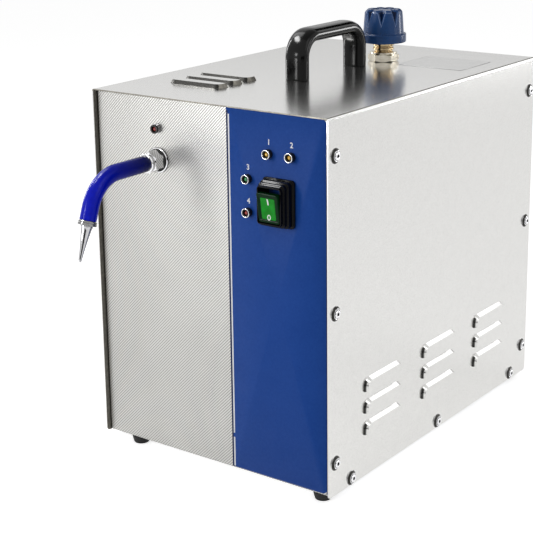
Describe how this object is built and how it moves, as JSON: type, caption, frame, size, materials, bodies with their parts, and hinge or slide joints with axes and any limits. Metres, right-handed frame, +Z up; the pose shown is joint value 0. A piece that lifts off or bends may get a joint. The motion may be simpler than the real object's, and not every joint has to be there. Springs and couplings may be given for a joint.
{
  "type": "jewellery steam cleaner",
  "caption": "Bench steam cleaner: sheet-metal housing on rubber feet, bent swivelling steam spout, rocker switch and lamps, screw cap on a filler neck, carry handle, boiler inside.",
  "frame": {"origin": "middle of the overall footprint, on the surface that the feet stand on", "axes": "+X to the right seen from the front, +Y from the front panel to the back, +Z up"},
  "size_m": [0.2772, 0.5274, 0.412],
  "materials": {
    "cover_steel": "satin stainless sheet with a fine mottled grain",
    "panel_steel": "satin stainless sheet with a fine diagonal embossed pattern",
    "overlay_blue": "blue printed polyester film with pale stripes at its left edge",
    "zinc_steel": "zinc plated steel",
    "bright_plate": "bright nickel-chrome plate",
    "black_rubber": "black rubber",
    "handle_black": "glossy black moulded plastic",
    "neck_brass": "turned brass, slightly tarnished",
    "cap_blue": "navy blue moulded plastic",
    "sleeve_blue": "saturated blue heat-insulating sleeve",
    "red_silicone": "red silicone rubber",
    "white_ptfe": "white low-friction plastic",
    "lamp_black": "black moulded plastic",
    "lens_amber": "translucent amber",
    "lens_green": "translucent green",
    "lens_red": "translucent red",
    "switch_black": "black moulded plastic",
    "rocker_green": "translucent green rocker with a moulded bar and ring",
    "boiler_steel": "welded stainless steel",
    "jacket_wool": "bonded glass-fibre wool",
    "pipe_copper": "annealed copper pipe",
    "gland_black": "black nylon",
    "board_green": "solder-masked board",
    "core_iron": "stacked steel laminations",
    "winding_tape": "taped copper winding"
  },
  "bodies": {
    "housing": {"amber_lenses": "lens_amber", "base_pan": "zinc_steel", "board_relays": "lamp_black", "board_standoffs": "white_ptfe", "boiler_jacket": "jacket_wool", "boiler_shell": "boiler_steel", "boiler_stand": "zinc_steel", "boiler_steam_pipe": "pipe_copper", "carry_handle": "handle_black", "control_board": "board_green", "cord_glands": "gland_black", "cover": "cover_steel", "cover_screws": "bright_plate", "cup_washers": "bright_plate", "drain_pipe": "pipe_copper", "drain_valve": "neck_brass", "feet": "black_rubber", "filler_neck": "neck_brass", "foot_screws": "zinc_steel", "front_overlay": "overlay_blue", "front_panel": "panel_steel", "green_lens": "lens_green", "handle_fixings": "zinc_steel", "heater_element": "boiler_steel", "heater_flange": "boiler_steel", "lamp_bezels": "lamp_black", "level_probe": "boiler_steel", "neck_nuts": "neck_brass", "neck_washer": "neck_brass", "outlet_steam_pipe": "pipe_copper", "outlet_union": "bright_plate", "panel_nuts": "zinc_steel", "pressure_switch": "lamp_black", "rear_panel": "cover_steel", "red_lenses": "lens_red", "safety_valve": "neck_brass", "solenoid_coil": "lamp_black", "spout_seal": "white_ptfe", "steam_valve_body": "neck_brass", "switch_bezel": "switch_black", "switch_body": "switch_black", "transformer_coil": "winding_tape", "transformer_core": "core_iron", "union_nut": "bright_plate"},
    "power_rocker": {"switch_rocker": "rocker_green"},
    "spout": {"spout_tube": "bright_plate", "spout_collar": "bright_plate", "spout_sleeve": "sleeve_blue", "nozzle_ferrule": "bright_plate", "nozzle_tip": "bright_plate"},
    "cap_seal": {"cap_gasket": "red_silicone"},
    "cap_slip_ring": {"cap_slip_washer": "white_ptfe"},
    "filler_cap": {"cap_shell": "cap_blue", "cap_insert": "neck_brass"},
    "valve_stem": {"safety_valve_stem": "neck_brass"},
    "plunger": {"solenoid_plunger": "boiler_steel"},
    "drain_handle": {"drain_lever": "zinc_steel", "lever_grip": "cap_blue"}
  },
  "joints": [
    {"name": "power_rocker_tilt", "type": "hinge", "parent": "housing", "child": "power_rocker", "pos_m": [0.081, -0.15932, 0.2765], "axis": [-1, 0, 0], "range_deg": [0, 17]},
    {"name": "spout_swivel", "type": "hinge", "parent": "housing", "child": "spout", "pos_m": [-0.059, -0.15232, 0.297], "axis": [0, 1, 0], "range_deg": [-60, 60]},
    {"name": "cap_lift", "type": "slide", "parent": "housing", "child": "cap_seal", "axis": [0, 0, 1], "range_m": [0, 0.06]},
    {"name": "cap_rise", "type": "slide", "parent": "cap_seal", "child": "cap_slip_ring", "axis": [0, 0, 1], "range_m": [0, 0.0041]},
    {"name": "cap_turn", "type": "hinge", "parent": "cap_slip_ring", "child": "filler_cap", "pos_m": [0.011, 0.13068, 0.378], "axis": [0, 0, 1], "range_deg": [0, 720]},
    {"name": "safety_valve_lift", "type": "slide", "parent": "housing", "child": "valve_stem", "axis": [0, 0, 1], "range_m": [0, 0.002], "stiffness_N_per_m": 500, "springref_m": -0.002},
    {"name": "solenoid_stroke", "type": "slide", "parent": "housing", "child": "plunger", "axis": [-1, 0, 0], "range_m": [0, 0.003], "stiffness_N_per_m": 300, "springref_m": -0.003},
    {"name": "drain_lever_turn", "type": "hinge", "parent": "housing", "child": "drain_handle", "pos_m": [0.011, 0.23768, 0.03], "axis": [0, 0, 1], "range_deg": [0, 90]}
  ],
  "couplings": [
    {"joint": "cap_rise", "follows": "cap_turn", "m_per_rad": 0.00031831}
  ]
}
